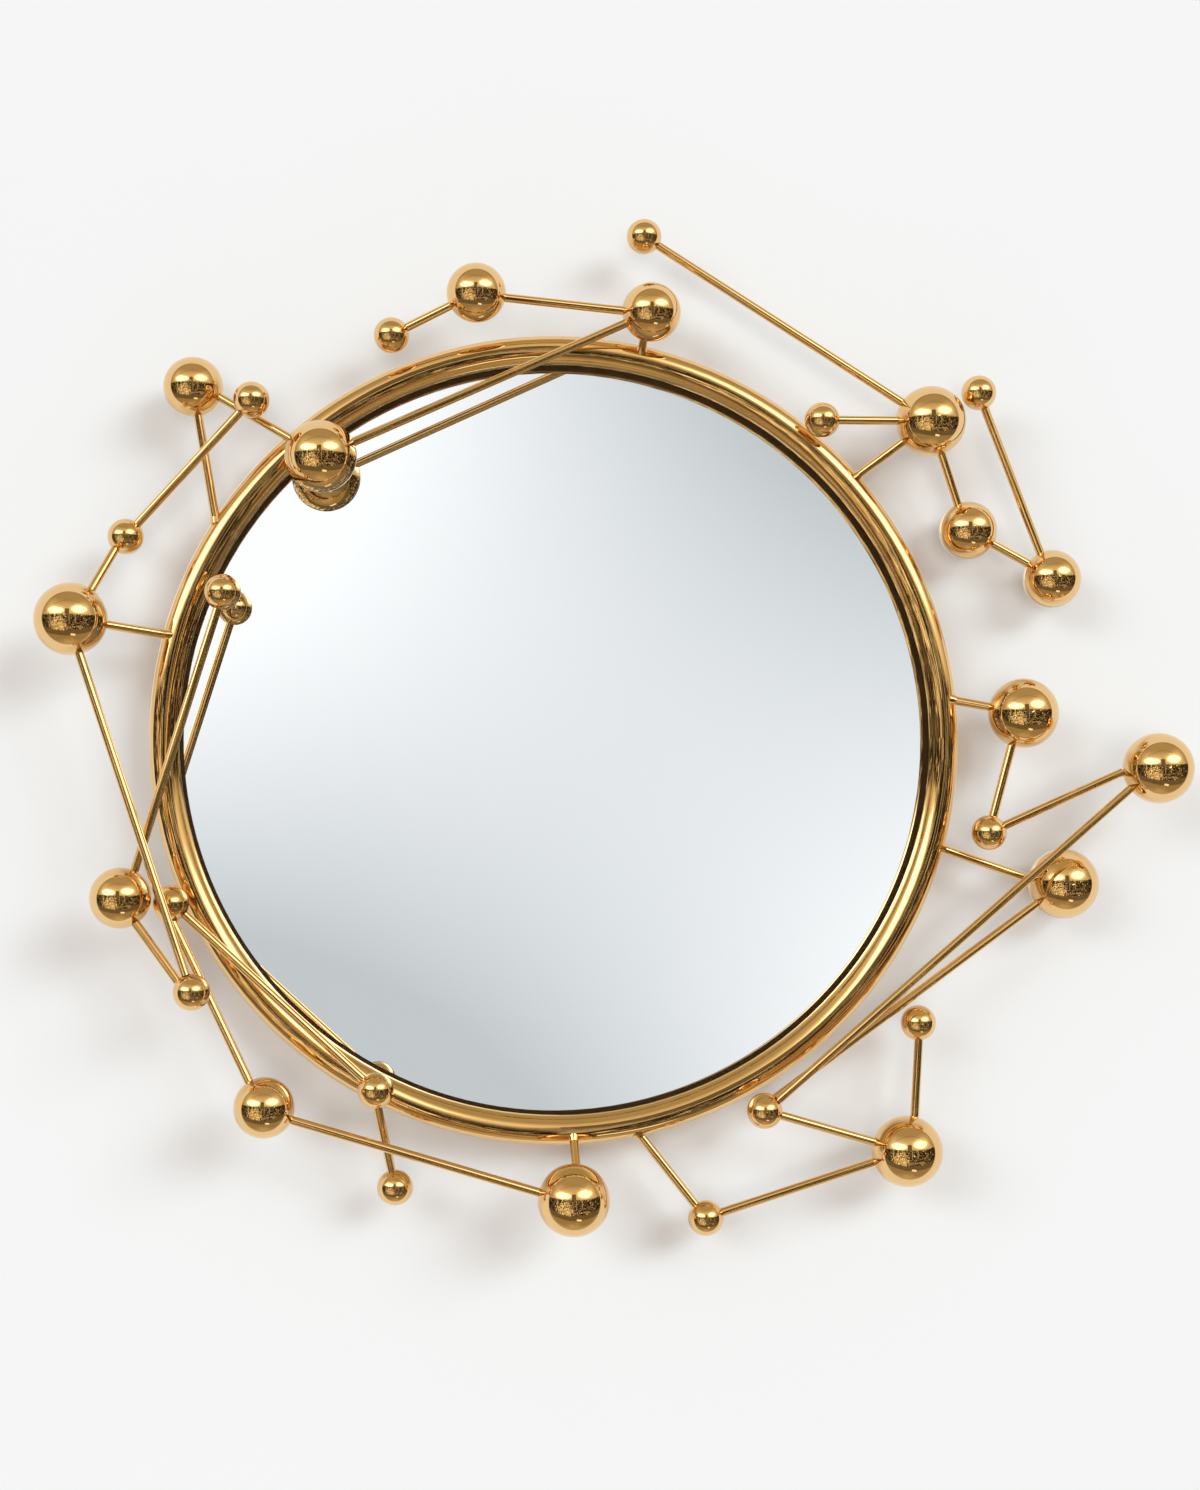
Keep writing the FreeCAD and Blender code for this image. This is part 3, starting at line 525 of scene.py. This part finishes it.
def oval(web, across, up, middle, height, half_width, half_height):
    """A soft-edged oval patch of the room"""
    wide = web.math("MULTIPLY", web.math("SUBTRACT", across, middle), 1 / half_width)
    tall = web.math("MULTIPLY", web.math("SUBTRACT", up, height), 1 / half_height)
    reach = web.math("ADD", web.math("MULTIPLY", wide, wide), web.math("MULTIPLY", tall, tall))
    return web.ramp(reach, *OVAL_EDGE)


def ceiling(web, way, across, up, square):
    """The ceiling, with a bowed cable below it and the windows"""
    room = web.mix(web.ramp(up, *CEILING_RISE), CEILING_NEAR, CEILING_FAR)
    room = web.mix(web.ramp(square, *CEILING_SIDES), room, CEILING_SIDE)
    bow = web.math("MULTIPLY_ADD", square, CABLE_BOW, up)
    room = web.mix(web.math("MULTIPLY", band(web, bow, *CABLE_EDGES), CABLE_SHARE), room, CABLE)
    waver = web.noise(way, scale=5.0, detail=2.0)
    waver = web.math("MULTIPLY_ADD", waver, WAVER, -WAVER / 2)
    high = web.math("ADD", up, waver)
    for *shape, tone in WINDOWS:
        room = web.mix(oval(web, across, high, *shape), room, tone)
    return room


def low_room(web, way, up, square, upright):
    """What lies under the horizon: things, a dark table before the mirror and the pale floor"""
    low = web.mix(web.ramp(upright, *DIM_EDGES), DARK, DIM)
    blocks = web.noise(way, scale=10.0, detail=5.0, roughness=0.7, distortion=0.6)
    litter = web.math("MULTIPLY_ADD", lobe(web, way, *WARM_SPOT), WARM_GAIN, blocks)
    low = web.mix(web.ramp(litter, *WARM_EDGES), low, WARM)
    spark = web.noise(way, scale=21.0, detail=2.0, roughness=0.6)
    spark = web.math("MULTIPLY_ADD", lobe(web, way, *SPARK_SPOT), SPARK_GAIN, spark)
    low = web.mix(web.ramp(spark, *SPARK_EDGES), low, SPARK)
    low = web.mix(web.ramp(square, *LOW_SIDES), low, DARK)
    bent = web.math("MULTIPLY_ADD", square, TABLE_BOW,
                    web.math("MULTIPLY_ADD", blocks, TABLE_RAG, up))
    table = web.mix(web.noise(way, scale=14.0, detail=3.0), TABLE, TABLE_PALE)
    low = web.mix(web.ramp(bent, *TABLE_EDGES), low, table)
    patches = web.noise(way, scale=5.0, detail=3.0)
    patches = web.math("MULTIPLY_ADD", patches, GROUND_RAG, up)
    ground = web.mix(web.ramp(patches, *GROUND_FALL), GROUND, GROUND_PALE)
    return web.mix(web.ramp(bent, *GROUND_EDGES), low, ground)


def furnished_room(web, way, across, up):
    """The front half of the room, as the polished metal shows it"""
    square = web.math("MULTIPLY", across, across)
    upright = web.noise(web.stretch(way, (1.0, 1.0, 0.28)), scale=13.0, detail=4.0, roughness=0.7)
    horizon = web.math("MULTIPLY_ADD", upright, HORIZON_RAG, up)
    room = web.mix(web.ramp(horizon, *HORIZON), ceiling(web, way, across, up, square),
                   low_room(web, way, up, square, upright))
    for *shape, tone in FURNITURE:
        room = web.mix(pane(web, across, up, *shape), room, tone)
    return room


def rear_room(web, across, up):
    """The half of the room behind the wall, for views of the back"""
    room = web.mix(web.ramp(up, *REAR_RISE), REAR_LOW, REAR_HIGH)
    for shape in REAR_WINDOWS:
        room = web.mix(oval(web, across, up, *shape), room, REAR_WINDOW)
    return room


def pale_screen(web, across, up):
    """The screen that the glass shows"""
    tilt = web.math("MULTIPLY", web.math("ADD", across, -SADDLE_ACROSS),
                    web.math("ADD", up, -SADDLE_UP))
    for value, share in ((up, SADDLE_TALL), (across, SADDLE_WIDE)):
        bend = web.math("MULTIPLY", web.math("MULTIPLY", value, value), share)
        tilt = web.math("ADD", tilt, bend)
    lit = web.ramp(tilt, SADDLE_REACH, -SADDLE_REACH, smooth=False)
    return web.mix(lit, SCREEN, SCREEN_LIT)


def build_world():
    """A pale room for diffuse light, a furnished one in the metal and a screen in the glass"""
    world = bpy.data.worlds.new("room")
    scene.world = world
    world.use_nodes = True
    web = Web(world.node_tree)
    way = web.node("ShaderNodeTexCoord").outputs["Generated"]
    split = web.node("ShaderNodeSeparateXYZ")
    web.link(way, split.inputs[0])
    x, y, z = split.outputs
    across = web.math("DEGREES", web.math("ARCTAN2", x, web.math("MULTIPLY", y, -1.0)))
    up = web.math("DEGREES", web.math("ARCSINE", z))
    path = web.node("ShaderNodeLightPath").outputs
    through = web.math("MULTIPLY", path["Is Transmission Ray"],
                       pane(web, across, up, *SCREEN_PANE))
    room = web.mix(through, furnished_room(web, way, across, up), pale_screen(web, across, up))
    room = web.mix(web.ramp(y, *HALVES), room, rear_room(web, across, up))
    mirrored = web.math("MAXIMUM", path["Is Glossy Ray"], path["Is Transmission Ray"])
    direct = web.math("LESS_THAN", path["Diffuse Depth"], 0.5)
    mirrored = web.math("MULTIPLY", mirrored, direct)
    light = web.mix(mirrored, AMBIENT, room)
    light = web.mix(path["Is Camera Ray"], light, BACKDROP)
    back = web.node("ShaderNodeBackground")
    web.link(light, back.inputs[0])
    out = web.node("ShaderNodeOutputWorld")
    web.link(back.outputs[0], out.inputs[0])


def lamp(name, across, up, spread, strength, tone):
    """A wide soft lamp far off, which neither the metal nor the glass shows"""
    light = bpy.data.lights.new(name, "SUN")
    light.angle = math.radians(spread)
    light.energy = strength
    light.color = tone
    item = bpy.data.objects.new(name, light)
    item.rotation_mode = "QUATERNION"
    item.rotation_quaternion = (-aim(across, up)).to_track_quat("-Z", "Y")
    item.visible_glossy = False
    item.visible_transmission = False
    scene.collection.objects.link(item)


def set_camera():
    """The camera, where the photograph was taken from"""
    lens = bpy.data.cameras.new("camera")
    lens.sensor_fit = "VERTICAL"
    lens.sensor_height = SENSOR
    lens.sensor_width = SENSOR
    lens.lens = SENSOR * PHOTO_DISTANCE / PHOTO_HEIGHT
    camera = bpy.data.objects.new("camera", lens)
    camera.location = CAMERA_PLACE
    camera.rotation_mode = "QUATERNION"
    camera.rotation_quaternion = (Vector(CAMERA_AIM) - camera.location).to_track_quat("-Z", "Y")
    scene.collection.objects.link(camera)
    scene.camera = camera


finish_nodes()
silver_coat()
backdrop()
build_world()
for row in LAMPS:
    lamp(*row)
set_camera()
scene.view_settings.view_transform = "Standard"
